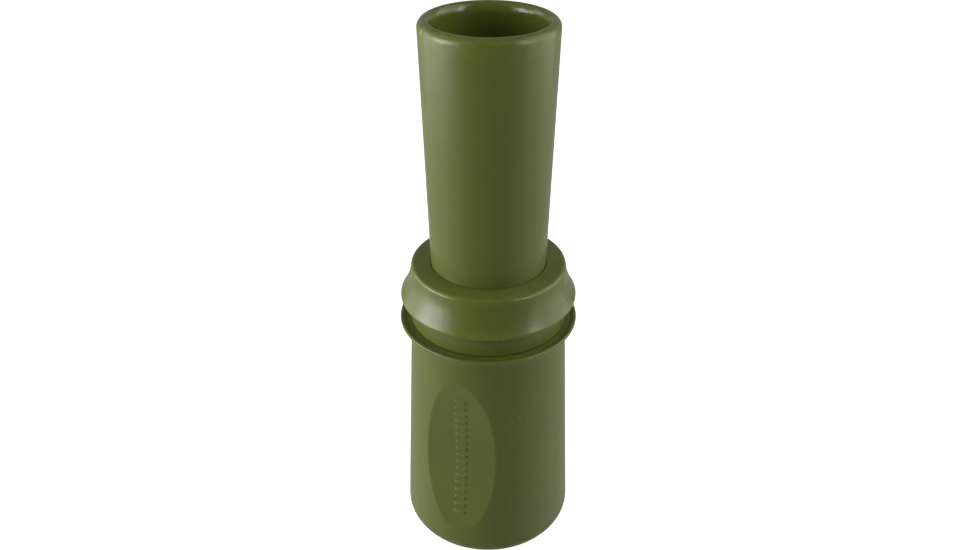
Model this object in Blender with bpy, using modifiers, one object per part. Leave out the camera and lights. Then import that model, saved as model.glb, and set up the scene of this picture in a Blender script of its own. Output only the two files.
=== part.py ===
"""Grunt tube call, modelled as the separate pieces that it comes apart into.

Frame: +Z runs up the call's axis, from the flat mouth end of the barrel (the origin) to the rim
of the horn. -Y is the front, and the oval thumb panel is turned a little towards -X from it.
Sizes are in millimetres in the constants and the profiles, and metres in Blender's scene.
"""

import math

import bmesh
import bpy
from mathutils import Matrix, Vector

MM = 0.001
GAP = 0.3                # stands for a touching or lightly pressed fit
SEGMENTS = 48            # round a turned body
RING_SEGMENTS = 40       # round a seal ring

# Barrel: the hand-held shell with the mouth bore at its foot and a flared lip at its top.
BARREL_BASE_R = 19.0
BARREL_WAIST_R = 16.65
BARREL_BASE_ROUND = 3.1
LIP_TOP_Z = 54.8
LIP_R = 18.85
LIP_EDGE_R = 0.4
FLARE_HEIGHT = 2.8
SEAT_Z = LIP_TOP_Z - 0.3
SEAT_DISH_R = 17.9
MOUTH_R = 8.75
MOUTH_ROUND = 3.0
CAVITY_FLOOR_Z = 8.0
CAVITY_FLOOR_R = 12.6
CAVITY_FLOOR_ROUND = 2.0
SOCKET_R = 13.0
SOCKET_CHAMFER = 0.5

# Thumb panel: a shallow scoop, flat across and hollow lengthwise.
PANEL_AZIMUTH = math.radians(21.0)
PANEL_MID_Z = 26.7
PANEL_HALF_LENGTH = 20.0
PANEL_DEPTH = 1.9

# Insert: the collar and the neck of the lanyard groove, with the sealed stub below them.
NECK_R = 16.5
COLLAR_R = 18.5
COLLAR_UNDER_Z = 59.6
COLLAR_EDGE_R = 0.8
COLLAR_FACE_Z = 67.8
CREST_R = 16.25
CREST_EDGE_R = 0.5
COLLAR_HOLLOW = 0.45
STUB_R = 12.3
STUB_END_Z = 34.0
STUB_CHAMFER = 0.6
STUB_BORE_R = 9.0
HORN_SOCKET_FLOOR_Z = 56.5

# Seal rings of the stub, and the grooves that hold them.
STUB_RING_Z = (49.5, 39.5)
STUB_GROOVE_WIDTH = 2.5
STUB_GROOVE_R = 10.5
STUB_RING_SECTION_R = 1.0
STUB_RING_R = 11.75

# Horn: the exhaust tube pressed into the collar.
HORN_TENON_R = 11.97
HORN_TOP_Z = 118.0
HORN_TOP_R = 13.15
HORN_BORE_TOP_R = 10.6
HORN_BORE_FOOT_R = 9.2
HORN_RIM_OUTER_ROUND = 1.45

# Tone board: a plug in the stub, and the trough that the reed lies on.
PLUG_R = STUB_BORE_R - GAP
PLUG_TOP_Z = 48.0
PLUG_GROOVE_Z = 44.8
PLUG_GROOVE_WIDTH = 2.0
PLUG_GROOVE_R = 6.9
PLUG_RING_R = 7.95
PLUG_RING_SECTION_R = 0.75
BOARD_R = 7.2
BOARD_TIP_Z = 11.5
BOARD_TIP_ROUND = 2.5
BOARD_FACE_Y = -1.0
FACING_FALL = 1.2
TONE_CHANNEL_R = 4.2
TONE_CHANNEL_END_Z = 14.0

# Reed, the wedge that clamps its root, and the tuning ring round board and reed.
REED_WIDTH = 11.0
REED_THICKNESS = 0.36
REED_TIP_Z = 11.2
REED_ROOT_Z = 39.6
REED_TIP_ROUND = 2.5
REED_FRONT_Y = BOARD_FACE_Y - GAP - REED_THICKNESS
WEDGE_NOTCH_TOP_Z = 41.0
TUNING_RING_Z = 29.5
TUNING_RING_SECTION_R = 0.9
TUNING_RING_CORNER_R = 1.6

OLIVE = (0.120, 0.142, 0.045)
BLACK = (0.012, 0.012, 0.013)
AMBER = (0.30, 0.16, 0.04)
MILK = (0.70, 0.72, 0.70)
CORK = (0.46, 0.27, 0.13)


# ---------------------------------------------------------------- scene and helpers

def clear_scene():
    for old in list(bpy.data.objects):
        bpy.data.objects.remove(old, do_unlink=True)


def new_collection(name):
    collection = bpy.data.collections.new(name)
    bpy.context.scene.collection.children.link(collection)
    return collection


def new_material(name, color, roughness, alpha=1.0):
    material = bpy.data.materials.new(name)
    material.use_nodes = True
    shader = material.node_tree.nodes["Principled BSDF"]
    shader.inputs["Base Color"].default_value = (*color, 1.0)
    shader.inputs["Roughness"].default_value = roughness
    shader.inputs["Metallic"].default_value = 0.0
    shader.inputs["Alpha"].default_value = alpha
    material.diffuse_color = (*color, alpha)
    return material


def arc(center, radius, start, end, steps):
    """Points on an arc in the profile's plane, from start to end in degrees."""
    points = []
    for i in range(steps + 1):
        angle = math.radians(start + (end - start) * i / steps)
        points.append((center[0] + radius * math.cos(angle), center[1] + radius * math.sin(angle)))
    return points


def bowed(start, end, bow, steps):
    """Points between two ends on a shallow curve, bow mm to the right of the way at its middle."""
    along = Vector(end) - Vector(start)
    side = Vector((along.y, -along.x)).normalized()
    points = []
    for i in range(steps + 1):
        t = i / steps
        point = Vector(start) + along * t + side * bow * 4.0 * t * (1.0 - t)
        points.append((point.x, point.y))
    return points


def mesh_object(name, mesh, collection):
    item = bpy.data.objects.new(name, mesh)
    collection.objects.link(item)
    return item


def turned(name, profile, collection, closed=True, segments=SEGMENTS):
    """Turn a profile of (radius, height) points in mm about +Z."""
    mesh = bpy.data.meshes.new(name)
    outline = bmesh.new()
    verts = [outline.verts.new((r * MM, 0.0, z * MM)) for r, z in profile]
    for a, b in zip(verts, verts[1:]):
        outline.edges.new((a, b))
    if closed:
        outline.edges.new((verts[-1], verts[0]))
    outline.to_mesh(mesh)
    outline.free()
    item = mesh_object(name, mesh, collection)
    screw = item.modifiers.new("turn", "SCREW")
    screw.steps = segments
    screw.render_steps = segments
    screw.use_merge_vertices = True
    screw.merge_threshold = 0.000002
    screw.use_smooth_shade = True
    return item


def box(name, low, high, collection):
    """A box between two corners in mm."""
    size = [(h - l) * MM for l, h in zip(low, high)]
    middle = [(h + l) * MM / 2.0 for l, h in zip(low, high)]
    mesh = bpy.data.meshes.new(name)
    solid = bmesh.new()
    bmesh.ops.create_cube(solid, size=1.0)
    bmesh.ops.transform(solid, matrix=Matrix.Diagonal((*size, 1.0)), verts=solid.verts)
    solid.to_mesh(mesh)
    solid.free()
    item = mesh_object(name, mesh, collection)
    item.location = middle
    return item


def cylinder(name, radius, low_z, high_z, collection, segments=SEGMENTS):
    mesh = bpy.data.meshes.new(name)
    solid = bmesh.new()
    bmesh.ops.create_cone(
        solid, cap_ends=True, segments=segments,
        radius1=radius * MM, radius2=radius * MM, depth=(high_z - low_z) * MM,
    )
    solid.to_mesh(mesh)
    solid.free()
    item = mesh_object(name, mesh, collection)
    item.location.z = (high_z + low_z) * MM / 2.0
    return item


def curve_to_mesh(item, collection):
    """Swap a curve object for a welded mesh object of the same name and place."""
    name = item.name
    matrix = item.matrix_world.copy()
    bpy.context.view_layer.update()
    evaluated = item.evaluated_get(bpy.context.evaluated_depsgraph_get())
    mesh = bpy.data.meshes.new_from_object(evaluated)
    welded = bmesh.new()
    welded.from_mesh(mesh)
    bmesh.ops.remove_doubles(welded, verts=welded.verts, dist=0.000002)
    bmesh.ops.recalc_face_normals(welded, faces=welded.faces)
    welded.to_mesh(mesh)
    welded.free()
    bpy.data.objects.remove(item, do_unlink=True)
    mesh.name = name
    swapped = mesh_object(name, mesh, collection)
    swapped.matrix_world = matrix
    return swapped


def plate(name, outline, half_thickness, matrix, collection):
    """A flat outline in mm, thickened both ways and placed by a matrix."""
    curve = bpy.data.curves.new(name, "CURVE")
    curve.dimensions = "2D"
    curve.fill_mode = "BOTH"
    curve.extrude = half_thickness * MM
    spline = curve.splines.new("POLY")
    spline.points.add(len(outline) - 1)
    for point, (u, v) in zip(spline.points, outline):
        point.co = (u * MM, v * MM, 0.0, 1.0)
    spline.use_cyclic_u = True
    item = mesh_object(name, curve, collection)
    item.matrix_world = matrix
    return curve_to_mesh(item, collection)


def subtract(item, cutter):
    cutter.hide_render = True
    cutter.display_type = "WIRE"
    cut = item.modifiers.new(cutter.name, "BOOLEAN")
    cut.operation = "DIFFERENCE"
    cut.solver = "EXACT"
    cut.object = cutter


def finish(item, color, roughness, parent=None, alpha=1.0):
    item.data.materials.clear()
    item.data.materials.append(new_material(item.name + "_material", color, roughness, alpha))
    if parent is not None:
        bpy.context.view_layer.update()
        item.parent = parent
        item.matrix_parent_inverse = parent.matrix_world.inverted()
    return item


def joint_empty(name, location, collection, parent=None):
    empty = bpy.data.objects.new(name, None)
    empty.empty_display_size = 10.0 * MM
    empty.location = [value * MM for value in location]
    collection.objects.link(empty)
    if parent is not None:
        empty.parent = parent
    return empty


# ---------------------------------------------------------------- barrel

def barrel_wall_radius(z):
    """Outer radius of the straight tapered wall at a height."""
    low = BARREL_BASE_ROUND
    high = LIP_TOP_Z - 2.0 * LIP_EDGE_R - FLARE_HEIGHT
    return BARREL_BASE_R + (BARREL_WAIST_R - BARREL_BASE_R) * (z - low) / (high - low)


def barrel_profile():
    lip_center = (LIP_R - LIP_EDGE_R, LIP_TOP_Z - LIP_EDGE_R)
    flare_top = LIP_TOP_Z - 2.0 * LIP_EDGE_R
    flare_reach = lip_center[0] - BARREL_WAIST_R
    profile = arc(lip_center, LIP_EDGE_R, 90.0, -90.0, 4)
    for i in range(1, 6):
        turn = math.radians(90.0 * i / 5)
        r = lip_center[0] - flare_reach * math.sin(turn)
        profile.append((r, flare_top - FLARE_HEIGHT * (1.0 - math.cos(turn))))
    base_center = (BARREL_BASE_R - BARREL_BASE_ROUND, BARREL_BASE_ROUND)
    profile += arc(base_center, BARREL_BASE_ROUND, 0.0, -90.0, 5)
    profile += arc((MOUTH_R + MOUTH_ROUND, MOUTH_ROUND), MOUTH_ROUND, -90.0, -180.0, 4)
    profile.append((MOUTH_R, CAVITY_FLOOR_Z))
    floor_center = (CAVITY_FLOOR_R - CAVITY_FLOOR_ROUND, CAVITY_FLOOR_Z + CAVITY_FLOOR_ROUND)
    profile += arc(floor_center, CAVITY_FLOOR_ROUND, -90.0, 0.0, 3)
    profile.append((SOCKET_R, STUB_END_Z - 2.0))
    profile.append((SOCKET_R, SEAT_Z - SOCKET_CHAMFER))
    profile.append((SOCKET_R + SOCKET_CHAMFER, SEAT_Z))
    profile.append((SEAT_DISH_R, SEAT_Z))
    return profile


def panel_cutter(collection):
    """A wide roller lying across the barrel: its belly leaves a flat-across, hollow oval."""
    roller_r = (PANEL_HALF_LENGTH ** 2 + PANEL_DEPTH ** 2) / (2.0 * PANEL_DEPTH)
    lean = math.atan2(barrel_wall_radius(0.0) - barrel_wall_radius(1.0), 1.0)
    wall_r = barrel_wall_radius(PANEL_MID_Z)
    reach = roller_r - PANEL_DEPTH
    radial = wall_r + reach * math.cos(lean)
    cutter = cylinder("panel_cutter", roller_r, -15.0, 15.0, collection, segments=192)
    tangent = Matrix.Rotation(-PANEL_AZIMUTH, 4, "Z")
    place = Matrix.Translation((0.0, -radial * MM, (PANEL_MID_Z + reach * math.sin(lean)) * MM))
    cutter.matrix_world = tangent @ place @ Matrix.Rotation(math.pi / 2.0, 4, "Y")
    return cutter


def make_barrel(parts, cutters):
    barrel = turned("mouthpiece_barrel", barrel_profile(), parts)
    subtract(barrel, panel_cutter(cutters))
    return finish(barrel, OLIVE, 0.42)


# ---------------------------------------------------------------- insert collar and horn

def groove(radius, floor_radius, middle_z, width):
    """A square groove in a wall that the profile runs down."""
    high = middle_z + width / 2.0
    low = middle_z - width / 2.0
    return [(radius, high), (floor_radius, high), (floor_radius, low), (radius, low)]


def collar_profile():
    crest = (CREST_R - CREST_EDGE_R, COLLAR_FACE_Z - CREST_EDGE_R)
    edge = (COLLAR_R - COLLAR_EDGE_R, COLLAR_UNDER_Z + COLLAR_EDGE_R)
    profile = arc(crest, CREST_EDGE_R, 90.0, 8.0, 4)
    lower = arc(edge, COLLAR_EDGE_R, 36.0, -90.0, 5)
    profile += bowed(profile[-1], lower[0], COLLAR_HOLLOW, 6)[1:-1]
    profile += lower
    profile.append((NECK_R, COLLAR_UNDER_Z))
    profile.append((NECK_R, SEAT_Z + GAP))
    profile.append((STUB_R, SEAT_Z + GAP))
    for middle in STUB_RING_Z:
        profile += groove(STUB_R, STUB_GROOVE_R, middle, STUB_GROOVE_WIDTH)
    profile.append((STUB_R, STUB_END_Z + STUB_CHAMFER))
    profile.append((STUB_R - STUB_CHAMFER, STUB_END_Z))
    profile.append((STUB_BORE_R, STUB_END_Z))
    profile.append((STUB_BORE_R, HORN_SOCKET_FLOOR_Z))
    profile.append((HORN_TENON_R + GAP, HORN_SOCKET_FLOOR_Z))
    profile.append((HORN_TENON_R + GAP, COLLAR_FACE_Z))
    return profile


def horn_profile():
    wall = HORN_TOP_R - HORN_BORE_TOP_R
    inner_round = wall - HORN_RIM_OUTER_ROUND
    outer = (HORN_TOP_R - HORN_RIM_OUTER_ROUND, HORN_TOP_Z - HORN_RIM_OUTER_ROUND)
    inner = (HORN_BORE_TOP_R + inner_round, HORN_TOP_Z - inner_round)
    foot_z = HORN_SOCKET_FLOOR_Z + GAP
    profile = arc(outer, HORN_RIM_OUTER_ROUND, 90.0, 0.0, 5)
    profile.append((HORN_TENON_R, COLLAR_FACE_Z))
    profile.append((HORN_TENON_R, foot_z))
    profile.append((HORN_BORE_FOOT_R, foot_z))
    profile += arc(inner, inner_round, 180.0, 90.0, 4)[:-1]
    return profile


# ---------------------------------------------------------------- seal rings

def ring_profile(ring_r, section_r, middle_z):
    return arc((ring_r, middle_z), section_r, 90.0, -234.0, 9)


def make_ring(name, ring_r, section_r, middle_z, parts, parent):
    ring = turned(name, ring_profile(ring_r, section_r, 0.0), parts, segments=RING_SEGMENTS)
    ring.location.z = middle_z * MM
    return finish(ring, BLACK, 0.5, parent)


# ---------------------------------------------------------------- tone board, reed and wedge

def board_profile():
    profile = [(0.0, PLUG_TOP_Z), (PLUG_R, PLUG_TOP_Z)]
    profile += groove(PLUG_R, PLUG_GROOVE_R, PLUG_GROOVE_Z, PLUG_GROOVE_WIDTH)
    profile.append((PLUG_R, STUB_END_Z))
    profile.append((BOARD_R, STUB_END_Z))
    tip_center = (BOARD_R - BOARD_TIP_ROUND, BOARD_TIP_Z + BOARD_TIP_ROUND)
    profile += arc(tip_center, BOARD_TIP_ROUND, 0.0, -90.0, 4)
    profile.append((0.0, BOARD_TIP_Z))
    return profile


def facing_outline():
    """The front half cut off the board: flat under the wedge, then falling away to the tip."""
    length = STUB_END_Z - BOARD_TIP_Z
    outline = [(-20.0, 5.0), (-20.0, WEDGE_NOTCH_TOP_Z), (BOARD_FACE_Y, WEDGE_NOTCH_TOP_Z)]
    for i in range(11):
        t = 1.1 * i / 10
        outline.append((BOARD_FACE_Y + FACING_FALL * t * t, STUB_END_Z - length * t))
    outline.append((outline[-1][0], 5.0))
    return outline


def channel_cutter(collection):
    """The tone channel: round-ended at the tip, open through the plug's top."""
    high = PLUG_TOP_Z + 5.0
    ball_z = TONE_CHANNEL_END_Z + TONE_CHANNEL_R
    profile = [(0.0, high), (TONE_CHANNEL_R, high)]
    profile += arc((0.0, ball_z), TONE_CHANNEL_R, 0.0, -90.0, 5)
    cutter = turned("channel_cutter", profile, collection, closed=False, segments=32)
    cutter.location.y = BOARD_FACE_Y * MM
    return cutter


def make_tone_board(parts, cutters, parent):
    board = turned("tone_board", board_profile(), parts, closed=False, segments=40)
    upright = Matrix(((0, 0, 1, 0), (1, 0, 0, 0), (0, 1, 0, 0), (0, 0, 0, 1)))
    subtract(board, plate("facing_cutter", facing_outline(), 12.0, upright, cutters))
    subtract(board, channel_cutter(cutters))
    return finish(board, AMBER, 0.3, parent)


def make_reed(parts, pivot):
    """A thin blade whose origin is the line where the wedge lets go of it."""
    half = REED_WIDTH / 2.0
    tip = REED_TIP_Z - STUB_END_Z
    root = REED_ROOT_Z - STUB_END_Z
    outline = [(half, root), (-half, root)]
    outline += arc((-half + REED_TIP_ROUND, tip + REED_TIP_ROUND), REED_TIP_ROUND, 180.0, 270.0, 4)
    outline += arc((half - REED_TIP_ROUND, tip + REED_TIP_ROUND), REED_TIP_ROUND, 270.0, 360.0, 4)
    middle_y = (REED_FRONT_Y + REED_THICKNESS / 2.0) * MM
    place = Matrix.Translation((0.0, middle_y, STUB_END_Z * MM)) @ Matrix.Rotation(math.pi / 2.0, 4, "X")
    reed = plate("reed", outline, REED_THICKNESS / 2.0, place, parts)
    return finish(reed, MILK, 0.25, pivot, alpha=0.6)


def make_wedge(parts, cutters, parent):
    low = STUB_END_Z + GAP
    high = WEDGE_NOTCH_TOP_Z - GAP
    wedge = cylinder("reed_wedge", PLUG_R, low, high, parts, segments=40)
    face_y = REED_FRONT_Y - GAP
    subtract(wedge, box("wedge_cutter", (-12, face_y, low - 5), (12, 12, high + 5), cutters))
    return finish(wedge, CORK, 0.85, parent)


def tuning_ring_path():
    """The ring's centre line: round the board's back and straight across the reed's front."""
    reach = BOARD_R + GAP + TUNING_RING_SECTION_R
    front_y = REED_FRONT_Y - GAP - TUNING_RING_SECTION_R
    corner = TUNING_RING_CORNER_R
    corner_y = front_y + corner
    corner_x = math.sqrt((reach - corner) ** 2 - corner_y ** 2)
    start = math.degrees(math.atan2(corner_y, corner_x))
    points = arc((0.0, 0.0), reach, start, 180.0 - start, 20)
    points += arc((-corner_x, corner_y), corner, 180.0 - start, 270.0, 4)[1:]
    points += arc((corner_x, corner_y), corner, 270.0, 360.0 + start, 4)[:-1]
    return points


def make_tuning_ring(parts, parent):
    curve = bpy.data.curves.new("tuning_ring", "CURVE")
    curve.dimensions = "3D"
    curve.bevel_depth = TUNING_RING_SECTION_R * MM
    curve.bevel_resolution = 2
    spline = curve.splines.new("POLY")
    path = tuning_ring_path()
    spline.points.add(len(path) - 1)
    for point, (x, y) in zip(spline.points, path):
        point.co = (x * MM, y * MM, 0.0, 1.0)
    spline.use_cyclic_u = True
    item = mesh_object("tuning_ring", curve, parts)
    item.location.z = TUNING_RING_Z * MM
    bpy.context.view_layer.update()
    return finish(curve_to_mesh(item, parts), BLACK, 0.5, parent)


# ---------------------------------------------------------------- the whole call

def main():
    clear_scene()
    parts = new_collection("grunt_tube_call")
    cutters = new_collection("cutters")
    joints = new_collection("joint_axes")

    make_barrel(parts, cutters)

    insert_axis = joint_empty("insert_axis", (0.0, 0.0, 0.0), joints)
    pivot_y = REED_FRONT_Y + REED_THICKNESS / 2.0
    reed_pivot = joint_empty("reed_pivot", (0.0, pivot_y, STUB_END_Z), joints, insert_axis)
    bpy.context.view_layer.update()

    finish(turned("insert_collar", collar_profile(), parts), OLIVE, 0.40, insert_axis)
    finish(turned("exhaust_horn", horn_profile(), parts), OLIVE, 0.38, insert_axis)
    ring_names = ("upper_seal_ring", "lower_seal_ring")
    for name, middle_z in zip(ring_names, STUB_RING_Z):
        make_ring(name, STUB_RING_R, STUB_RING_SECTION_R, middle_z, parts, insert_axis)
    make_tone_board(parts, cutters, insert_axis)
    make_ring("tone_board_seal_ring", PLUG_RING_R, PLUG_RING_SECTION_R, PLUG_GROOVE_Z, parts, insert_axis)
    make_wedge(parts, cutters, insert_axis)
    make_tuning_ring(parts, insert_axis)
    make_reed(parts, reed_pivot)


main()
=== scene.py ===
"""Looks of the grunt tube call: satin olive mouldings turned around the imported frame.

Lengths in the outlines are millimetres at the frame's own scale; MM turns them into metres.
HEIGHT and everything worked out from it are metres.
Azimuths are degrees round the call's axis, 0 at the front (-Y) and 90 at the right (+X).
"""

import math

import bmesh
import bpy
import numpy as np
from mathutils import Matrix, Vector, noise


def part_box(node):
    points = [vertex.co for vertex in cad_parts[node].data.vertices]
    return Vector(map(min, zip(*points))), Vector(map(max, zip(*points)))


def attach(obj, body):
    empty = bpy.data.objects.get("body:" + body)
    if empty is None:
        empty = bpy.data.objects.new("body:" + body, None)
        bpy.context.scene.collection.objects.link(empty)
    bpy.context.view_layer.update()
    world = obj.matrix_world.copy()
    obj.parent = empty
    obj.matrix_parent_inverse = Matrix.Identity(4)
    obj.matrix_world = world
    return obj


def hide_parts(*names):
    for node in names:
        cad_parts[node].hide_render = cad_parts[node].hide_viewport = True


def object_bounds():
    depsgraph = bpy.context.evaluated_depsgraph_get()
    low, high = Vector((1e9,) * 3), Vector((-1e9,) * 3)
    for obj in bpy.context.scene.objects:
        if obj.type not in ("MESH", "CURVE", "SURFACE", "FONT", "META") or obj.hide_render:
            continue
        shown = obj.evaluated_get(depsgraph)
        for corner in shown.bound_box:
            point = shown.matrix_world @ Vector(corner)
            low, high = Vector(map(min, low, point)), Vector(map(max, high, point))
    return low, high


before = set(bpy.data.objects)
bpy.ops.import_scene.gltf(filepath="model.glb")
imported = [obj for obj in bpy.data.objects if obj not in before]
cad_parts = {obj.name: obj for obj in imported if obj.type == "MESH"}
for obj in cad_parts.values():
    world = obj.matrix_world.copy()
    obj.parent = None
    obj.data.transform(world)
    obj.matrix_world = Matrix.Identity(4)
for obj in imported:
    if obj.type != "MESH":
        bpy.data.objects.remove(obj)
CAD_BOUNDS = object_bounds()


# ---------------------------------------------------------------- sizes taken from the frame

BARREL_R = 19.0
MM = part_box("mouthpiece_barrel")[1].x / BARREL_R
HEIGHT = CAD_BOUNDS[1].z - CAD_BOUNDS[0].z


def low_z(node):
    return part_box(node)[0].z / MM


def high_z(node):
    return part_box(node)[1].z / MM


LIP_TOP_Z = high_z("mouthpiece_barrel")
SEAT_DEPTH = 0.3
SEAT_GAP = 0.12
SEAT_Z = LIP_TOP_Z - SEAT_DEPTH
NECK_FOOT_Z = SEAT_Z + SEAT_GAP
STUB_END_Z = low_z("insert_collar")
COLLAR_FACE_Z = high_z("insert_collar")
COLLAR_HEIGHT = 8.2
COLLAR_UNDER_Z = COLLAR_FACE_Z - COLLAR_HEIGHT
HORN_FOOT_Z = low_z("exhaust_horn")
HORN_TOP_Z = high_z("exhaust_horn")
HORN_TOP_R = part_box("exhaust_horn")[1].x / MM

# Radii, rounds and depths, since a box doesn't give them.
TOUCH_GAP = 0.3
WAIST_R = 16.65
LIP_R = 18.85
LIP_EDGE_R = 0.4
LIP_TOP_WIDTH = 0.65
LIP_WIDTH = 1.25
FLARE_HEIGHT = 2.8
FLARE_START = 9.0
BASE_ROUND = 2.8
MOUTH_R = 8.75
MOUTH_LENGTH = 8.0
MOUTH_ROUND = 3.0
CHAMBER_FLOOR_R = 12.6
SOCKET_R = 13.0
SOCKET_DEPTH = 2.0

NECK_R = 16.5
COLLAR_R = 18.5
CREST_R = 16.15
CREST_ROUND = 0.8
CREST_DROP = 0.2
COLLAR_ROUND = 0.6
SKIRT_BOW = 0.38
STUB_R = 12.3
STUB_BORE_R = 9.0
STUB_GROOVE_R = 10.5
STUB_GROOVE_WIDTH = 2.5

HORN_TENON_R = 11.97
HORN_SOCKET_R = HORN_TENON_R + 0.06
HORN_BORE_TOP_R = 10.6
HORN_BORE_FOOT_R = 9.2
HORN_OUTER_ROUND = 1.45
HORN_RIM_FLARE = 2.4

PLUG_R = STUB_BORE_R - TOUCH_GAP
PLUG_GROOVE_R = 6.9
PLUG_GROOVE_WIDTH = 2.0
BOARD_R = 7.2
BOARD_CORNER = 2.5
NOTCH_HEIGHT = 7.0
FACE_Y = -1.0
FACING_FALL = 1.2
CHANNEL_R = 4.2
CHANNEL_FOOT_Z = 14.0
REED_CORNER = 2.5
BAND_CORNER = 1.6

# Thumb panel on the barrel, and the generic raised bars down its middle.
PANEL_AZIMUTH = -21.0
PANEL_MID_Z = 26.7
PANEL_HALF_LENGTH = 20.0
PANEL_DEPTH = 1.9
PANEL_EDGE_SOFTNESS = 0.08
BAR_COUNT = 17
BAR_PITCH = 1.9
BAR_HALF_LENGTH = 1.3
BAR_HALF_WIDTH = 0.3
BAR_HEIGHT = 0.2
BAR_EDGE_SOFTNESS = 0.2

# Parting lines: each moulding has two, half a turn apart.
HORN_SEAM = -66.0
COLLAR_SEAM = 67.0
BARREL_SEAM = 79.0
SEAM_DEPTH = 0.1
SEAM_HALF_WIDTH = 0.09
HORN_SEAM_SHARE = 0.35

# The small step that the gate of the mould leaves where the horn's parting line meets its rim.
NICK_DEPTH = 0.22
NICK_HALF_WIDTH = 0.35
NICK_DROP = 0.9
NICK_REACH = 0.8

# Degrees between the columns of turned meshes.
BARREL_STEP = 2.5
PANEL_STEP = 0.5
TURNED_STEP = 1.6
RING_STEP = 3.0
CUTTER_STEP = 5.0


# ---------------------------------------------------------------- outlines

def arc(center, radius, start, end, steps):
    turns = np.radians(np.linspace(start, end, steps + 1))
    return [(center[0] + radius * math.cos(t), center[1] + radius * math.sin(t)) for t in turns]


def bowed(start, end, bow, steps):
    """A shallow curve between two points, bow mm to the right of the way at its middle."""
    a = np.array(start)
    along = np.array(end) - a
    side = np.array((along[1], -along[0])) / np.hypot(*along)
    shares = np.linspace(0.0, 1.0, steps + 1)
    return [tuple(a + along * t + side * bow * 4.0 * t * (1.0 - t)) for t in shares]


ROUND_STEP = 11.0
ROUND_ROOM = 0.45
SUPPORT = 0.15
SUPPORT_ROOM = 0.2


def rounded(corners):
    """A closed outline: a corner with a third value is rounded to that radius in mm.

    A round takes at most ROUND_ROOM of the shorter side, and a support point follows each end.
    """
    points = []
    count = len(corners)
    for i, corner in enumerate(corners):
        here = np.array(corner[:2], float)
        if len(corner) == 2:
            points.append(tuple(here))
            continue
        back = np.array(corners[i - 1][:2], float) - here
        ahead = np.array(corners[(i + 1) % count][:2], float) - here
        room = min(np.hypot(*back), np.hypot(*ahead))
        back /= np.hypot(*back)
        ahead /= np.hypot(*ahead)
        half_angle = math.acos(np.clip(back @ ahead, -1.0, 1.0)) / 2.0
        reach = min(corner[2] / math.tan(half_angle), ROUND_ROOM * room)
        radius = reach * math.tan(half_angle)
        middle = (back + ahead) / np.hypot(*(back + ahead))
        center = here + middle * radius / math.sin(half_angle)
        first = here + back * reach - center
        last = here + ahead * reach - center
        start = math.atan2(first[1], first[0])
        sweep = math.atan2(last[1], last[0]) - start
        sweep = (sweep + math.pi) % (2.0 * math.pi) - math.pi
        steps = max(3, math.ceil(abs(math.degrees(sweep)) / ROUND_STEP))
        support = min(SUPPORT, SUPPORT_ROOM * (room - reach))
        points.append(tuple(here + back * (reach + support)))
        for k in range(steps + 1):
            t = start + sweep * k / steps
            points.append((center[0] + radius * math.cos(t), center[1] + radius * math.sin(t)))
        points.append(tuple(here + ahead * (reach + support)))
    return points


def divided(points, longest):
    """Adds points to a closed outline so that no step is longer than longest mm."""
    result = []
    for a, b in zip(points, points[1:] + points[:1]):
        result.append(a)
        steps = math.ceil(math.hypot(b[0] - a[0], b[1] - a[1]) / longest)
        for k in range(1, steps):
            t = k / steps
            result.append((a[0] + (b[0] - a[0]) * t, a[1] + (b[1] - a[1]) * t))
    return result


SEAM_CLEAR = 1.4
SEAM_COLUMNS = (0.0, 0.15, 0.3, 0.45, 0.7, 1.2)


def azimuths(step, seam=None, fine=None):
    """Columns round the axis in degrees, step apart.

    They are closer together at the parting lines, and in the range fine, (start, end, step).
    """
    columns = set(np.round(np.arange(-180.0, 180.0, step), 4))
    if fine is not None:
        start, end, fine_step = fine
        columns = {c for c in columns if not start <= c <= end}
        columns |= set(np.round(np.arange(start, end + fine_step / 2.0, fine_step), 4))
    if seam is not None:
        for middle in (seam, seam - 180.0):
            columns = {c for c in columns if abs(c - middle) > SEAM_CLEAR}
            for off in SEAM_COLUMNS:
                columns |= {round(middle + off, 4), round(middle - off, 4)}
    wrapped = {round((c + 180.0) % 360.0 - 180.0, 4) for c in columns}
    return np.array(sorted(wrapped))


# ---------------------------------------------------------------- turned meshes

OUTER_SLOPE = 0.25
WELD_DISTANCE = 1e-6


def linked(name, data):
    """A new object in the scene, for a mesh, a light or a camera."""
    item = bpy.data.objects.new(name, data)
    bpy.context.scene.collection.objects.link(item)
    return item


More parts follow.
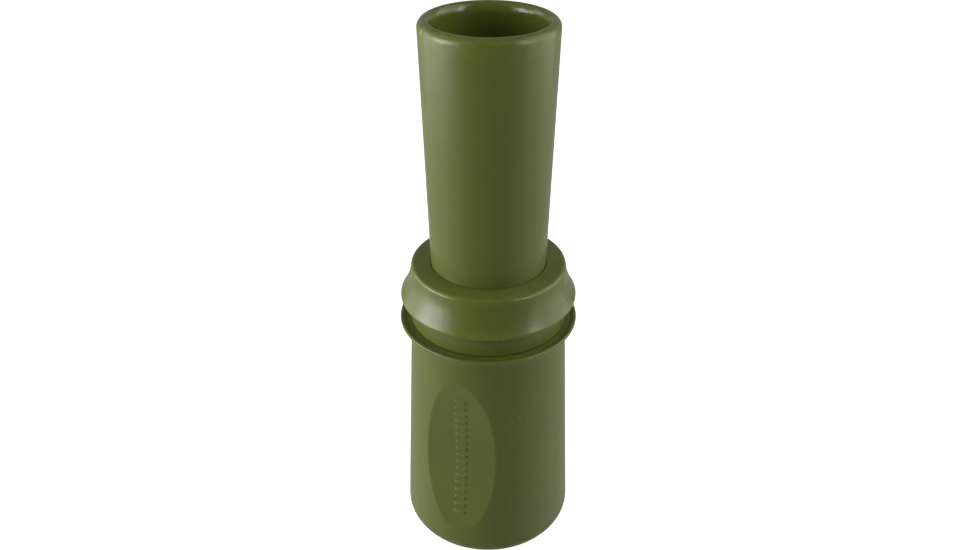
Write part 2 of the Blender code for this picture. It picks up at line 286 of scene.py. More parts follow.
def lathe(name, outline, columns, shape=None, wear=None, seam=None, closed=True, bore_r=None,
          seam_share=1.0):
    """Turns an outline that runs down its outer side; shape() adds a radial offset in mm.

    An outline that isn't closed starts and ends on the axis. Inner faces within bore_r mm of the
    axis carry the "bore" mark for their polish. seam_share is the parting line's strength.
    """
    points = np.array(outline, float)
    az = np.radians(columns)[None, :]
    r = np.repeat(points[:, :1], len(columns), axis=1)
    z = np.repeat(points[:, 1:], len(columns), axis=1)
    outer = outer_rows(points)[:, None]
    offset = np.zeros_like(r)
    seam_mask = np.zeros_like(r)
    if seam is not None:
        seam_mask = seam_line(r, np.degrees(az), seam) * outer * seam_share
        offset -= SEAM_DEPTH * seam_mask
    if shape is not None:
        offset += shape(r, z, np.degrees(az)) * outer
    r2 = r + offset
    places = np.stack((r2 * np.sin(az), -r2 * np.cos(az), z), axis=-1).reshape(-1, 3) * MM

    rows, cols = r.shape
    last = rows if closed else rows - 1
    i = np.arange(last)[:, None]
    j = np.arange(cols)[None, :]
    down = (i + 1) % rows
    right = (j + 1) % cols
    faces = np.stack(
        (i * cols + j, down * cols + j, down * cols + right, i * cols + right), axis=-1)
    mesh = bpy.data.meshes.new(name)
    mesh.from_pydata(places.tolist(), [], faces.reshape(-1, 4).tolist())
    if wear is not None:
        store(mesh, "wear", wear_field(r, z, wear))
    # The seam mark also tells the material where to paint shade along the parting lines.
    store(mesh, "seam", seam_mask)
    if bore_r is not None:
        store(mesh, "bore", (r < bore_r) & (outer < 0.5))
    if not closed:
        weld(mesh)
    mesh.polygons.foreach_set("use_smooth", np.ones(len(mesh.polygons), bool))
    mesh.update()
    return linked(name, mesh)


def outer_rows(points):
    """1 on the rows that run down the outer side, steeper than OUTER_SLOPE, and 0 elsewhere."""
    ahead = np.roll(points, -1, axis=0) - np.roll(points, 1, axis=0)
    return (ahead[:, 1] < -OUTER_SLOPE * np.hypot(ahead[:, 0], ahead[:, 1])).astype(float)


def store(mesh, name, values):
    """Keeps one number per vertex, for the materials to read."""
    attribute = mesh.attributes.new(name, "FLOAT", "POINT")
    attribute.data.foreach_set("value", np.asarray(values, np.float32).ravel())


def weld(mesh):
    """Joins the vertices that meet on the axis."""
    solid = bmesh.new()
    solid.from_mesh(mesh)
    bmesh.ops.remove_doubles(solid, verts=solid.verts, dist=WELD_DISTANCE)
    solid.to_mesh(mesh)
    solid.free()


def seam_line(r, degrees, seam):
    """1 on the parting lines and fading over SEAM_HALF_WIDTH mm to each side."""
    total = np.zeros(np.broadcast(r, degrees).shape)
    for middle in (seam, seam - 180.0):
        away = np.radians((degrees - middle + 180.0) % 360.0 - 180.0) * r
        total += np.exp(-(away / SEAM_HALF_WIDTH) ** 2)
    return np.clip(total, 0.0, 1.0)


def wear_field(r, z, spots):
    """How rubbed the surface is, from spots given as (radius, height, reach) in mm."""
    total = np.zeros_like(r)
    for spot_r, spot_z, reach in spots:
        gap = np.hypot(r - spot_r, z - spot_z)
        total = np.maximum(total, np.exp(-(gap / reach) ** 2))
    return total


# ---------------------------------------------------------------- barrel

def barrel_outline():
    """From the seat over the lip, down the outside, and up through the mouth bore."""
    flare_top = LIP_TOP_Z - 2.0 * LIP_EDGE_R
    flare_foot = flare_top - FLARE_HEIGHT
    slope = (BARREL_R - WAIST_R) / (flare_foot - BASE_ROUND)
    corner_r = BARREL_R + slope * BASE_ROUND
    corners = [
        (LIP_R - LIP_WIDTH, SEAT_Z, 1.0),
        (LIP_R - LIP_TOP_WIDTH, LIP_TOP_Z - 0.02, 0.4),
        (LIP_R, LIP_TOP_Z, LIP_EDGE_R),
        (LIP_R, flare_top, LIP_EDGE_R),
    ]
    for t in np.radians(np.linspace(FLARE_START, 90.0, 12)):
        r = LIP_R - LIP_EDGE_R - (LIP_R - LIP_EDGE_R - WAIST_R) * math.sin(t)
        corners.append((r, flare_top - FLARE_HEIGHT * (1.0 - math.cos(t))))
    corners += [
        (corner_r, 0.0, BASE_ROUND),
        (MOUTH_R, 0.0, MOUTH_ROUND),
        (MOUTH_R, MOUTH_LENGTH, 0.4),
        (CHAMBER_FLOOR_R, MOUTH_LENGTH, 2.0),
        (SOCKET_R, STUB_END_Z - SOCKET_DEPTH),
        (SOCKET_R, SEAT_Z, 0.5),
    ]
    return corners


BEYOND_R = 1e3


def panel_shape(r, z, degrees):
    """Radial offset of the scoop and of the raised bars down its middle.

    The scoop is a flat across the barrel, deepest at its mid height; scoop is the flat's radius.
    """
    turn = np.radians(degrees - PANEL_AZIMUTH)
    along = z - PANEL_MID_Z
    depth = PANEL_DEPTH * (1.0 - (along / PANEL_HALF_LENGTH) ** 2)
    near = np.cos(np.clip(turn, -1.0, 1.0))
    scoop = np.where(np.abs(turn) < 1.0, (r - depth) / near, BEYOND_R)
    soft = PANEL_EDGE_SOFTNESS
    share = np.clip(0.5 + 0.5 * (scoop - r) / soft, 0.0, 1.0)
    cut = scoop + (r - scoop) * share - soft * share * (1.0 - share)

    across = np.tan(np.clip(turn, -1.0, 1.0)) * (r - depth)
    beyond = np.maximum(np.abs(across) - (BAR_HALF_LENGTH - BAR_HALF_WIDTH), 0.0)
    row = np.clip(np.round(along / BAR_PITCH), -(BAR_COUNT // 2), BAR_COUNT // 2)
    gap = np.hypot(beyond, along - row * BAR_PITCH) - BAR_HALF_WIDTH
    rise = np.clip(0.5 - gap / BAR_EDGE_SOFTNESS, 0.0, 1.0)
    bars = BAR_HEIGHT * rise * rise * (3.0 - 2.0 * rise)
    return cut - r + bars


PANEL_MARGIN = 1.0
PANEL_REACH = 30.0
PANEL_ROW = 0.16


def make_barrel():
    panel_low = PANEL_MID_Z - PANEL_HALF_LENGTH - PANEL_MARGIN
    panel_high = PANEL_MID_Z + PANEL_HALF_LENGTH + PANEL_MARGIN
    outline = rounded(barrel_outline())
    dense = []
    for a, b in zip(outline, outline[1:] + outline[:1]):
        dense.append(a)
        if a[1] > panel_high > panel_low > b[1] and a[0] > SOCKET_R + 1.0:
            rows = np.arange(panel_high, panel_low, -PANEL_ROW)
            dense += [(a[0] + (b[0] - a[0]) * (a[1] - z) / (a[1] - b[1]), z) for z in rows]
    fine = (PANEL_AZIMUTH - PANEL_REACH, PANEL_AZIMUTH + PANEL_REACH, PANEL_STEP)
    columns = azimuths(BARREL_STEP, BARREL_SEAM, fine)
    wear = [(LIP_R, LIP_TOP_Z - 0.4, 0.7), (17.9, 1.2, 1.2)]
    barrel = lathe("barrel_shell", dense, columns, panel_shape, wear, BARREL_SEAM)
    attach(barrel, "barrel")
    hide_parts("mouthpiece_barrel")
    return barrel


# ---------------------------------------------------------------- collar and horn

def groove(radius, floor, middle, width):
    """The four corners of a square groove in a shaft, from its upper edge down."""
    high = middle + width / 2.0
    low = middle - width / 2.0
    return [(radius, high, 0.15), (floor, high, 0.15), (floor, low, 0.15), (radius, low, 0.15)]


def collar_outline():
    """From the horn's socket over the crest, down the skirt and the stub, and up its bore."""
    crest_z = COLLAR_FACE_Z - CREST_DROP
    crest = arc((CREST_R - CREST_ROUND, crest_z - CREST_ROUND), CREST_ROUND, 84.0, 8.0, 12)
    edge_r = COLLAR_R - COLLAR_ROUND
    edge = arc((edge_r, COLLAR_UNDER_Z + COLLAR_ROUND), COLLAR_ROUND, 36.0, -84.0, 12)
    corners = [
        (HORN_SOCKET_R, COLLAR_FACE_Z, 0.15),
        (CREST_R - CREST_ROUND - 0.3, crest_z + 0.01),
        (CREST_R - CREST_ROUND, crest_z),
    ]
    corners += crest
    corners += bowed(crest[-1], edge[0], SKIRT_BOW, 24)[1:-1]
    corners += edge
    corners += [
        (edge_r, COLLAR_UNDER_Z),
        (edge_r - 0.3, COLLAR_UNDER_Z),
        (NECK_R, COLLAR_UNDER_Z, 0.5),
        (NECK_R, NECK_FOOT_Z, 0.25),
        (STUB_R, NECK_FOOT_Z, 0.2),
    ]
    for node in ("upper_seal_ring", "lower_seal_ring"):
        middle = (low_z(node) + high_z(node)) / 2.0
        corners += groove(STUB_R, STUB_GROOVE_R, middle, STUB_GROOVE_WIDTH)
    corners += [
        (STUB_R, STUB_END_Z, 0.6),
        (STUB_BORE_R, STUB_END_Z, 0.2),
        (STUB_BORE_R, HORN_FOOT_Z - TOUCH_GAP, 0.2),
        (HORN_SOCKET_R, HORN_FOOT_Z - TOUCH_GAP, 0.2),
    ]
    return corners


def make_collar():
    wear = [(CREST_R - 0.3, COLLAR_FACE_Z - 0.3, 0.8), (COLLAR_R, COLLAR_UNDER_Z + 1.0, 0.9)]
    outline = rounded(collar_outline())
    columns = azimuths(TURNED_STEP, COLLAR_SEAM)
    collar = lathe("collar_and_stub", outline, columns, None, wear, COLLAR_SEAM)
    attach(collar, "insert")
    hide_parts("insert_collar")
    return collar


def horn_outline():
    """From the top of the rim down the outside, and up the bore to the rim's long inner curve."""
    crest = (HORN_TOP_R - HORN_OUTER_ROUND, HORN_TOP_Z - HORN_OUTER_ROUND)
    outer = arc(crest, HORN_OUTER_ROUND, 90.0, 0.0, 12)
    inner_round = HORN_TOP_R - HORN_BORE_TOP_R - HORN_OUTER_ROUND
    inner = []
    for t in np.radians(np.linspace(180.0, 90.0, 15)):
        r = HORN_BORE_TOP_R + inner_round * (1.0 + math.cos(t))
        inner.append((r, HORN_TOP_Z - HORN_RIM_FLARE * (1.0 - math.sin(t))))
    corners = outer + [
        (outer[-1][0] - 0.01, outer[-1][1] - 0.4),
        (HORN_TENON_R, COLLAR_FACE_Z - 0.2),
        (HORN_TENON_R, HORN_FOOT_Z, 0.3),
        (HORN_BORE_FOOT_R, HORN_FOOT_Z, 0.3),
        (HORN_BORE_TOP_R - 0.01, inner[0][1] - 0.4),
    ]
    return corners + inner[:-1]


def rim_nick(r, z, degrees):
    """Radial offset of the mark that the mould's gate leaves on the rim."""
    away = np.radians(degrees - HORN_SEAM) * r
    below = z - HORN_TOP_Z + NICK_DROP
    return -NICK_DEPTH * np.exp(-(away / NICK_HALF_WIDTH) ** 2 - (below / NICK_REACH) ** 2)


def make_horn():
    outline = divided(rounded(horn_outline()), 3.0)
    wear = [
        (HORN_TOP_R - 0.6, HORN_TOP_Z - 0.5, 1.6),
        (HORN_BORE_TOP_R + 0.4, HORN_TOP_Z - 0.6, 1.0),
    ]
    horn = lathe("horn_tube", outline, azimuths(TURNED_STEP, HORN_SEAM), rim_nick, wear,
                 HORN_SEAM, bore_r=HORN_BORE_TOP_R + 1.2, seam_share=HORN_SEAM_SHARE)
    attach(horn, "insert")
    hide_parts("exhaust_horn")
    return horn


# ---------------------------------------------------------------- rubber rings

def make_seal_ring(node, body):
    """A round section of 24 points; its outer radius is the box's, to the nearest 0.05 mm."""
    low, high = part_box(node)
    section = (high.z - low.z) / 2.0 / MM
    middle_r = math.floor(high.x / MM * 20.0 + 0.5) / 20.0 - section
    middle_z = (high.z + low.z) / 2.0 / MM
    outline = arc((middle_r, middle_z), section, 90.0, -255.0, 23)
    ring = lathe(node.replace("seal", "rubber"), outline, azimuths(RING_STEP))
    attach(ring, body)
    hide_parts(node)
    return ring


def make_tuning_ring():
    """A rubber ring stretched round the back of the board and straight across the reed."""
    low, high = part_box("tuning_ring")
    section = (high.z - low.z) / 2.0
    reach = high.y - section
    front_y = low.y + section
    corner = BAND_CORNER * MM
    corner_y = front_y + corner
    corner_x = math.sqrt((reach - corner) ** 2 - corner_y ** 2)
    start = math.degrees(math.atan2(corner_y, corner_x))
    path = arc((0.0, 0.0), reach, start, 180.0 - start, 60)
    path += arc((-corner_x, corner_y), corner, 180.0 - start, 270.0, 12)[1:]
    path += [(corner_x * t, front_y) for t in np.linspace(-0.85, 0.85, 12)]
    path += arc((corner_x, corner_y), corner, 270.0, 360.0 + start, 12)[:-1]
    line = np.array(path)
    ahead = np.roll(line, -1, axis=0) - np.roll(line, 1, axis=0)
    ahead /= np.linalg.norm(ahead, axis=1)[:, None]
    out = np.stack((ahead[:, 1], -ahead[:, 0]), axis=-1)
    sides = 20
    turn = np.linspace(0.0, 2.0 * math.pi, sides, endpoint=False)
    middle_z = (high.z + low.z) / 2.0
    places = []
    for center, away in zip(line, out):
        for t in turn:
            flat = center + away * section * math.cos(t)
            places.append((flat[0], flat[1], middle_z + section * math.sin(t)))
    faces = []
    count = len(line)
    for i in range(count):
        for k in range(sides):
            a = i * sides + k
            b = i * sides + (k + 1) % sides
            c = (i + 1) % count * sides + (k + 1) % sides
            d = (i + 1) % count * sides + k
            faces.append((a, d, c, b))
    mesh = bpy.data.meshes.new("tuning_band")
    mesh.from_pydata(places, [], faces)
    mesh.polygons.foreach_set("use_smooth", np.ones(len(mesh.polygons), bool))
    ring = linked("tuning_band", mesh)
    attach(ring, "tuning_ring")
    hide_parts("tuning_ring")
    return ring


# ---------------------------------------------------------------- tone board, reed and wedge

def extruded(name, outline, half_thickness):
    """A flat outline of (u, v) points in mm, thickened both ways along its third axis."""
    solid = bmesh.new()
    lower = [solid.verts.new((u * MM, v * MM, -half_thickness * MM)) for u, v in outline]
    upper = [solid.verts.new((u * MM, v * MM, half_thickness * MM)) for u, v in outline]
    solid.faces.new(lower[::-1])
    solid.faces.new(upper)
    count = len(outline)
    for i in range(count):
        k = (i + 1) % count
        solid.faces.new((lower[i], lower[k], upper[k], upper[i]))
    bmesh.ops.recalc_face_normals(solid, faces=solid.faces)
    mesh = bpy.data.meshes.new(name)
    solid.to_mesh(mesh)
    solid.free()
    return linked(name, mesh)


def carve(piece, cutter):
    """Takes the cutter's solid out of the piece, and removes the cutter."""
    cut = piece.modifiers.new("cut", "BOOLEAN")
    cut.operation = "DIFFERENCE"
    cut.solver = "EXACT"
    cut.object = cutter
    settle(piece)
    bpy.data.objects.remove(cutter, do_unlink=True)


def settle(piece):
    """Turns a piece's modifiers into its mesh."""
    bpy.context.view_layer.update()
    evaluated = piece.evaluated_get(bpy.context.evaluated_depsgraph_get())
    mesh = bpy.data.meshes.new_from_object(evaluated)
    piece.modifiers.clear()
    piece.data = mesh


def bevelled(piece, width):
    bevel = piece.modifiers.new("edges", "BEVEL")
    bevel.width = width * MM
    bevel.segments = 2
    bevel.limit_method = "ANGLE"
    bevel.angle_limit = math.radians(35.0)
    bevel.harden_normals = True
    settle(piece)
    piece.data.shade_smooth()
    piece.data.set_sharp_from_angle(angle=math.radians(40.0))


# Puts an outline's first axis along y, its second along z and its thickness along x.
FROM_THE_SIDE = Matrix(((0, 0, 1, 0), (1, 0, 0, 0), (0, 1, 0, 0), (0, 0, 0, 1)))
CUTTER_Y = -20.0
CUTTER_Z = 5.0
CUTTER_HALF_WIDTH = 12.0


def make_tone_board():
    """A turned plug and board, cut away in front to the facing and hollowed by the channel."""
    top_z = high_z("tone_board")
    tip_z = low_z("tone_board")
    groove_z = (low_z("tone_board_seal_ring") + high_z("tone_board_seal_ring")) / 2.0
    outline = [(0.0, top_z), (PLUG_R, top_z)]
    corners = groove(PLUG_R, PLUG_GROOVE_R, groove_z, PLUG_GROOVE_WIDTH)
    outline += [corner[:2] for corner in corners]
    outline += [(PLUG_R, STUB_END_Z), (BOARD_R, STUB_END_Z)]
    outline += arc((BOARD_R - BOARD_CORNER, tip_z + BOARD_CORNER), BOARD_CORNER, 0.0, -90.0, 10)
    outline.append((0.0, tip_z))
    board = lathe("tone_board_moulding", outline, azimuths(RING_STEP), closed=False)

    length = STUB_END_Z - tip_z
    notch_z = STUB_END_Z + NOTCH_HEIGHT
    facing = [(CUTTER_Y, CUTTER_Z), (CUTTER_Y, notch_z), (FACE_Y, notch_z)]
    for t in np.linspace(0.0, 1.1, 34):
        facing.append((FACE_Y + FACING_FALL * t * t, STUB_END_Z - length * t))
    facing.append((facing[-1][0], CUTTER_Z))
    cutter = extruded("facing_cutter", facing, CUTTER_HALF_WIDTH)
    cutter.matrix_world = FROM_THE_SIDE
    carve(board, cutter)

    channel = [(0.0, top_z + 5.0), (CHANNEL_R, top_z + 5.0)]
    channel += arc((0.0, CHANNEL_FOOT_Z + CHANNEL_R), CHANNEL_R, 0.0, -90.0, 12)
    cutter = lathe("channel_cutter", channel, azimuths(CUTTER_STEP), closed=False)
    cutter.location.y = FACE_Y * MM
    carve(board, cutter)
    bevelled(board, 0.15)
    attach(board, "insert")
    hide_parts("tone_board")
    return board


def make_reed():
    low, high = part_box("reed")
    half = high.x / MM
    tip = low.z / MM
    root = high.z / MM
    thickness = (high.y - low.y) / MM
    outline = [(half, root), (-half, root)]
    outline += arc((-half + REED_CORNER, tip + REED_CORNER), REED_CORNER, 180.0, 270.0, 12)
    outline += arc((half - REED_CORNER, tip + REED_CORNER), REED_CORNER, 270.0, 360.0, 12)
    reed = extruded("reed_blade", outline, thickness / 2.0)
    middle_y = (high.y + low.y) / 2.0
    upright = Matrix.Rotation(math.pi / 2.0, 4, "X")
    reed.data.transform(Matrix.Translation((0.0, middle_y, 0.0)) @ upright)
    bevelled(reed, 0.06)
    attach(reed, "reed")
    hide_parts("reed")
    return reed


CORK_VOXEL = 0.22
CORK_SHRINK = 0.05
PIT_SCALE = 1.7
PIT_LEVEL = 0.22
PIT_DEPTH = 0.5
GRAIN_SCALE = 5.0
GRAIN_DEPTH = 0.03
GRAIN_SHIFT = (7.0, 3.0, 1.0)


def make_wedge():
    """A cork block: the CAD wedge's own outline, remeshed fine and pitted."""
    low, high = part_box("reed_wedge")
    radius = -low.y / MM
    face_y = high.y / MM
    turn = math.degrees(math.asin(-face_y / radius))
    outline = arc((0.0, 0.0), radius, 180.0 + turn, 360.0 - turn, 40)
    wedge = extruded("cork_wedge", outline, (high.z - low.z) / 2.0 / MM)
    wedge.data.transform(Matrix.Translation((0.0, 0.0, (high.z + low.z) / 2.0)))
    remesh = wedge.modifiers.new("grain", "REMESH")
    remesh.mode = "VOXEL"
    remesh.voxel_size = CORK_VOXEL * MM
    settle(wedge)
    for vertex in wedge.data.vertices:
        place = vertex.co / MM
        pits = max(0.0, noise.noise(place * PIT_SCALE) - PIT_LEVEL) * PIT_DEPTH
        fine = noise.noise(place * GRAIN_SCALE + Vector(GRAIN_SHIFT)) * GRAIN_DEPTH
        vertex.co -= vertex.normal * (CORK_SHRINK + pits - fine) * MM
    wedge.data.shade_smooth()
    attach(wedge, "insert")
    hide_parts("reed_wedge")
    return wedge


# ---------------------------------------------------------------- materials

class Tree:
    """A node tree, with short calls for the nodes used here."""

    def __init__(self, tree):
        self.tree = tree

    def new(self, kind):
        return self.tree.nodes.new(kind)

    def link(self, source, target):
        self.tree.links.new(source, target)

    def ranged(self, value, low, high, to_low, to_high, smooth=False):
        node = self.new("ShaderNodeMapRange")
        if smooth:
            node.interpolation_type = "SMOOTHSTEP"
        node.inputs["From Min"].default_value = low
        node.inputs["From Max"].default_value = high
        node.inputs["To Min"].default_value = to_low
        node.inputs["To Max"].default_value = to_high
        self.link(value, node.inputs["Value"])
        return node.outputs["Result"]

    def maths(self, operation, first, second):
        """Each value is a float or a socket."""
        node = self.new("ShaderNodeMath")
        node.operation = operation
        for socket, value in zip(node.inputs, (first, second)):
            if isinstance(value, float):
                socket.default_value = value
            else:
                self.link(value, socket)
        return node.outputs[0]


class Nodes(Tree):
    """A material's nodes; every texture is laid out in the piece's own space, in metres."""

    def __init__(self, name):
        self.material = bpy.data.materials.new(name)
        self.material.use_nodes = True
        super().__init__(self.material.node_tree)
        self.shader = self.tree.nodes["Principled BSDF"]
        self.place = self.new("ShaderNodeTexCoord").outputs["Object"]

    def noise(self, scale, detail=2.0, rough=0.5):
        node = self.new("ShaderNodeTexNoise")
        node.inputs["Scale"].default_value = scale
        node.inputs["Detail"].default_value = detail
        node.inputs["Roughness"].default_value = rough
        self.link(self.place, node.inputs["Vector"])
        return node.outputs["Fac"]

    def put(self, socket, value):
        """Sets one of the shader's sockets to a number, or links a socket to it."""
        if isinstance(value, float):
            self.shader.inputs[socket].default_value = value
        else:
            self.link(value, self.shader.inputs[socket])

    def mixed(self, factor, first, second):
        """Mixes two colours; each is a colour tuple or a socket."""
        node = self.new("ShaderNodeMix")
        node.data_type = "RGBA"
        self.link(factor, node.inputs["Factor"])
        for socket, value in ((node.inputs[6], first), (node.inputs[7], second)):
            if isinstance(value, tuple):
                socket.default_value = (*value, 1.0)
            else:
                self.link(value, socket)
        return node.outputs[2]

    def attribute(self, name):
        node = self.new("ShaderNodeAttribute")
        node.attribute_name = name
        return node.outputs["Fac"]

    def cells(self, scale):
        """Scattered cells: the distance from each one's middle, and its own random tint."""
        node = self.new("ShaderNodeTexVoronoi")
        node.inputs["Scale"].default_value = scale
        self.link(self.place, node.inputs["Vector"])
        return node.outputs["Distance"], node.outputs["Color"]

    def bump(self, height, strength, distance, below=None):
        node = self.new("ShaderNodeBump")
        node.inputs["Strength"].default_value = strength
        node.inputs["Distance"].default_value = distance
        self.link(height, node.inputs["Height"])
        if below is not None:
            self.link(below, node.inputs["Normal"])
        return node.outputs["Normal"]


def tinted(color, shares):
    return tuple(c * share for c, share in zip(color, shares))


# Pigment, and painted shade along the parting lines: every tint is a share of the piece's own
# colour.
OLIVE = (0.135, 0.161, 0.0265)
WARM = (1.05, 1.02, 0.92)
COOL = (0.95, 0.98, 1.08)
STREAK = (0.8, 0.8, 0.8)
RUBBED = (1.45, 1.40, 1.2)
# Painted shade along the parting lines' shallow grooves: its share of the colour, and how strong
# it is.
SEAM_SHADE = (0.45, 0.45, 0.45)
SEAM_SHADE_STRENGTH = 0.7
SPECK_COLOR = (0.45, 0.47, 0.30)
SPECK_SIZE = 0.055
SPECK_CHOICE = 0.80
SPECK_STRENGTH = 0.45

# Gloss: rubbed edges and the horn's bore are smoother. No outer face goes below ROUGH_FLOOR,
# where the render's denoiser draws a hard line across a smooth change of roughness.
WEAR_POLISH = 0.8
BORE_POLISH = 0.45
ROUGH_FLOOR = 0.285


def olive_plastic(name, color, rough_low, rough_high):
    """Moulded plastic: cloudy pigment, dust specks, rubbed edges, painted shade along the parting
    lines and a fine satin grain.
    """
    n = Nodes(name)
    clouds = n.ranged(n.noise(70.0, 3.0), 0.35, 0.65, 0.0, 1.0)
    body = n.mixed(clouds, tinted(color, WARM), tinted(color, COOL))
    streaks = n.ranged(n.noise(420.0, 4.0, 0.6), 0.3, 0.7, 0.0, 0.22)
    body = n.mixed(streaks, body, tinted(color, STREAK))
    patchy = n.ranged(n.noise(600.0, 3.0), 0.35, 0.7, 0.15, 0.6)
    body = n.mixed(n.maths("MULTIPLY", n.attribute("wear"), patchy), body, tinted(color, RUBBED))
    # Painted shade: the colour darkens along the parting lines.
    seam = n.maths("MULTIPLY", n.attribute("seam"), SEAM_SHADE_STRENGTH)
    body = n.mixed(seam, body, tinted(color, SEAM_SHADE))
    distance, tint = n.cells(260.0)
    small = n.maths("LESS_THAN", distance, SPECK_SIZE)
    chosen = n.maths("GREATER_THAN", tint, SPECK_CHOICE)
    speck = n.maths("MULTIPLY", n.maths("MULTIPLY", small, chosen), SPECK_STRENGTH)
    n.put("Base Color", n.mixed(speck, body, SPECK_COLOR))

    rough = n.ranged(n.noise(260.0, 3.0), 0.3, 0.7, rough_low, rough_high)
    polish = n.ranged(n.attribute("wear"), 0.0, 1.0, 1.0, WEAR_POLISH)
    rough = n.maths("MAXIMUM", n.maths("MULTIPLY", rough, polish), ROUGH_FLOOR)
    bore = n.ranged(n.attribute("bore"), 0.0, 1.0, 1.0, BORE_POLISH)
    n.put("Roughness", n.maths("MULTIPLY", rough, bore))
    peel = n.bump(n.noise(420.0, 2.0), 0.10, 0.00006)
    n.put("Normal", n.bump(n.noise(3400.0, 2.0), 0.6, 0.00003, peel))
    n.put("IOR", 1.5)
    n.put("Coat Weight", 0.15)
    n.put("Coat Roughness", 0.18)
    return n.material


def clouded(name, clouds, rough, grain):
    """A material of two mixed colours, given as three sets of numbers.

    clouds is (scale, first, second), rough is (scale, low, high), and grain is
    (scale, strength, depth).
    """
    n = Nodes(name)
    share = n.ranged(n.noise(clouds[0], 3.0), 0.3, 0.7, 0.0, 1.0)
    n.put("Base Color", n.mixed(share, *clouds[1:]))
    n.put("Roughness", n.ranged(n.noise(rough[0], 2.0), 0.3, 0.7, *rough[1:]))
    n.put("Normal", n.bump(n.noise(grain[0], 2.0), *grain[1:]))
    return n


def rubber(name):
    clouds = (500.0, (0.010, 0.010, 0.011), (0.022, 0.022, 0.021))
    return clouded(name, clouds, (900.0, 0.32, 0.5), (4000.0, 0.15, 0.00002)).material


def amber_plastic(name):
    clouds = (150.0, (0.34, 0.17, 0.035), (0.26, 0.12, 0.025))
    n = clouded(name, clouds, (800.0, 0.16, 0.28), (500.0, 0.08, 0.00005))
    n.put("Transmission Weight", 0.25)
    n.put("IOR", 1.55)
    return n.material


def reed_film(name):
    clouds = (300.0, (0.70, 0.72, 0.69), (0.78, 0.79, 0.76))
    n = clouded(name, clouds, (1500.0, 0.30, 0.42), (6000.0, 0.2, 0.00001))
    n.put("Transmission Weight", 0.45)
    n.put("IOR", 1.6)
    return n.material


def cork(name):
    """Light and dark grains, with dark pores in some of the cells."""
    n = Nodes(name)
    grains = n.ranged(n.noise(900.0, 4.0, 0.65), 0.35, 0.65, 0.0, 1.0)
    body = n.mixed(grains, (0.36, 0.19, 0.08), (0.60, 0.38, 0.20))
    distance, tint = n.cells(1100.0)
    pore = n.ranged(distance, 0.10, 0.25, 0.75, 0.0)
    pore = n.maths("MULTIPLY", pore, n.ranged(tint, 0.5, 0.9, 0.0, 1.0))
    n.put("Base Color", n.mixed(pore, body, (0.12, 0.05, 0.02)))
    n.put("Roughness", n.ranged(n.noise(700.0, 2.0), 0.3, 0.7, 0.75, 0.95))
    n.put("Normal", n.bump(n.noise(2500.0, 3.0), 0.5, 0.00006))
    return n.material


def dress(piece, material):
    piece.data.materials.clear()
    piece.data.materials.append(material)


# ---------------------------------------------------------------- floor, light and camera

WHITE = (1.0, 1.0, 1.0, 1.0)
FLOOR_SIZE = 40.0 * HEIGHT
FLOOR_DROP = 0.0001
FLOOR_GLOW = 0.9


def make_floor():
    """A wide pale sheet just under the call.

    It glows a little, to come out as white as the ground behind, and gives the call no light.
    """
    mesh = bpy.data.meshes.new("floor_sheet")
    sheet = bmesh.new()
    bmesh.ops.create_grid(sheet, x_segments=8, y_segments=8, size=FLOOR_SIZE)
    bmesh.ops.translate(sheet, verts=sheet.verts, vec=(0.0, 0.0, -FLOOR_DROP))
    sheet.to_mesh(mesh)
    sheet.free()
    floor = linked("floor_sheet", mesh)
    n = Nodes("floor_paper")
    paper = n.ranged(n.noise(60.0, 2.0), 0.3, 0.7, 0.0, 1.0)
    n.put("Base Color", n.mixed(paper, (0.88, 0.88, 0.88), (0.90, 0.90, 0.90)))
    n.put("Roughness", 0.9)
    n.put("Specular IOR Level", 0.0)
    n.shader.inputs["Emission Color"].default_value = WHITE
    n.put("Emission Strength", FLOOR_GLOW)
    dress(floor, n.material)
    floor.visible_diffuse = False
    floor.visible_glossy = False
    floor.visible_shadow = False


LIGHT_DISTANCE = 3.5 * HEIGHT


def area_light(name, azimuth, elevation, width, height, radiance):
    """A soft light aimed at the call's middle; all its angles are degrees seen from there."""
    data = bpy.data.lights.new(name, "AREA")
    data.shape = "RECTANGLE"
    data.size = 2.0 * LIGHT_DISTANCE * math.tan(math.radians(width / 2.0))
    data.size_y = 2.0 * LIGHT_DISTANCE * math.tan(math.radians(height / 2.0))
    data.energy = radiance * math.pi * data.size * data.size_y
    light = linked(name, data)
    turn = math.radians(azimuth)
    lift = math.radians(elevation)
    flat = math.cos(lift)
    away = Vector((math.sin(turn) * flat, -math.cos(turn) * flat, math.sin(lift)))
    light.location = Vector((0.0, 0.0, HEIGHT / 2.0)) + away * LIGHT_DISTANCE
    light.rotation_euler = (-away).to_track_quat("-Z", "Y").to_euler()
    light.visible_camera = False


# Name, azimuth, elevation, width, height and radiance.
LIGHTS = [
    ("left_back", -109.0, 6.0, 34.0, 42.0, 1.5),
    ("left_core", -85.0, 6.0, 20.0, 34.0, 4.4),
    ("left_hot", -83.0, 4.0, 9.0, 18.0, 5.5),
    ("left_strip", -68.0, 11.0, 16.0, 38.0, 5.6),
    ("left_soft", -54.0, 10.0, 10.0, 36.0, 2.1),
    ("left_high", -80.0, 42.0, 60.0, 34.0, 0.5),
    ("right_strip", 58.0, 22.0, 11.0, 30.0, 3.4),
    ("right_wide", 78.0, 7.0, 36.0, 40.0, 1.2),
    ("right_back", 108.0, 6.0, 30.0, 40.0, 1.3),
    ("right_high", 84.0, 40.0, 60.0, 36.0, 1.3),
    ("top", 180.0, 80.0, 50.0, 50.0, 0.08),
]
TABLE_LIGHT = 0.34
ROOM_LIGHT = 0.2
EVEN_LIGHT = 0.075


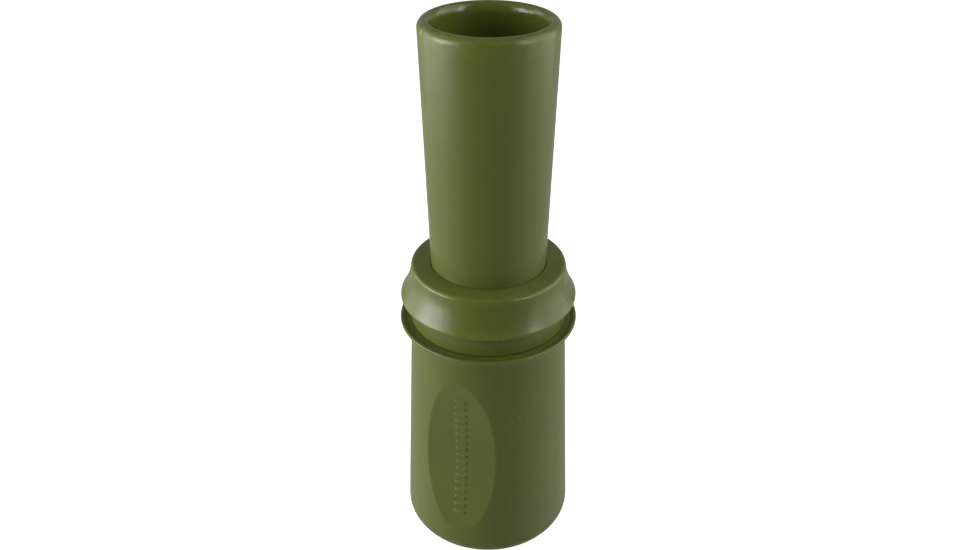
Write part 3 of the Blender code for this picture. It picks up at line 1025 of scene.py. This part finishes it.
def make_world():
    """White where the camera sees it; for the call itself, a pale table below and a dim room."""
    world = bpy.data.worlds.new("studio")
    bpy.context.scene.world = world
    world.use_nodes = True
    n = Tree(world.node_tree)
    split = n.new("ShaderNodeSeparateXYZ")
    n.link(n.new("ShaderNodeTexCoord").outputs["Generated"], split.inputs[0])
    behind = split.outputs["Y"]
    up = split.outputs["Z"]

    def fade(value, low, high, to_low, to_high):
        return n.ranged(value, low, high, to_low, to_high, smooth=True)

    below = fade(up, -0.35, -0.15, 1.0, 0.0)
    table = n.maths("MULTIPLY", below, fade(behind, -0.9, -0.2, 0.3, 1.0))
    room = n.maths("MULTIPLY", fade(behind, -0.2, 0.8, 0.0, 1.0), fade(up, 0.3, 0.9, 1.0, 0.0))
    room = n.maths("MULTIPLY", room, fade(up, -0.3, 0.0, 0.0, 1.0))
    level = n.maths("ADD", n.maths("MULTIPLY", table, TABLE_LIGHT), EVEN_LIGHT)
    level = n.maths("ADD", level, n.maths("MULTIPLY", room, ROOM_LIGHT))

    seen = n.tree.nodes["Background"]
    seen.inputs["Color"].default_value = WHITE
    seen.inputs["Strength"].default_value = 1.0
    lit = n.new("ShaderNodeBackground")
    lit.name = "room_light"
    lit.inputs["Color"].default_value = WHITE
    n.link(level, lit.inputs["Strength"])
    mix = n.new("ShaderNodeMixShader")
    n.link(n.new("ShaderNodeLightPath").outputs["Is Camera Ray"], mix.inputs[0])
    n.link(lit.outputs[0], mix.inputs[1])
    n.link(seen.outputs[0], mix.inputs[2])
    n.link(mix.outputs[0], n.tree.nodes["World Output"].inputs["Surface"])


# The camera's place is in shares of the call's height, and its angles are degrees.
CAMERA_PLACE = (0.0010, -1.394, 1.400)
CAMERA_DIP = 31.665
CAMERA_ROLL = 0.2
CAMERA_LENS = 33.81
SENSOR_WIDTH = 36.0


def make_camera():
    """Stands in front and above, close enough for the strong perspective of a product shot."""
    data = bpy.data.cameras.new("camera")
    data.sensor_width = SENSOR_WIDTH
    data.lens = CAMERA_LENS
    data.clip_start = 0.01
    data.clip_end = 60.0
    camera = linked("camera", data)
    camera.location = [share * HEIGHT for share in CAMERA_PLACE]
    camera.rotation_euler = (math.radians(90.0 - CAMERA_DIP), 0.0, 0.0)
    camera.rotation_euler.rotate_axis("Z", math.radians(CAMERA_ROLL))
    bpy.context.scene.camera = camera


# ---------------------------------------------------------------- the whole scene

def main():
    make_camera()
    dress(make_barrel(), olive_plastic("barrel_olive", OLIVE, 0.34, 0.42))
    dress(make_collar(), olive_plastic("collar_olive", OLIVE, 0.31, 0.38))
    dress(make_horn(), olive_plastic("horn_olive", OLIVE, 0.31, 0.39))
    black = rubber("nitrile")
    dress(make_seal_ring("upper_seal_ring", "seal_rings"), black)
    dress(make_seal_ring("lower_seal_ring", "seal_rings"), black)
    dress(make_seal_ring("tone_board_seal_ring", "insert"), black)
    dress(make_tuning_ring(), black)
    dress(make_tone_board(), amber_plastic("amber"))
    dress(make_reed(), reed_film("film"))
    dress(make_wedge(), cork("cork"))
    make_floor()
    for row in LIGHTS:
        area_light(*row)
    make_world()
    bpy.context.scene.view_settings.view_transform = "Standard"


main()
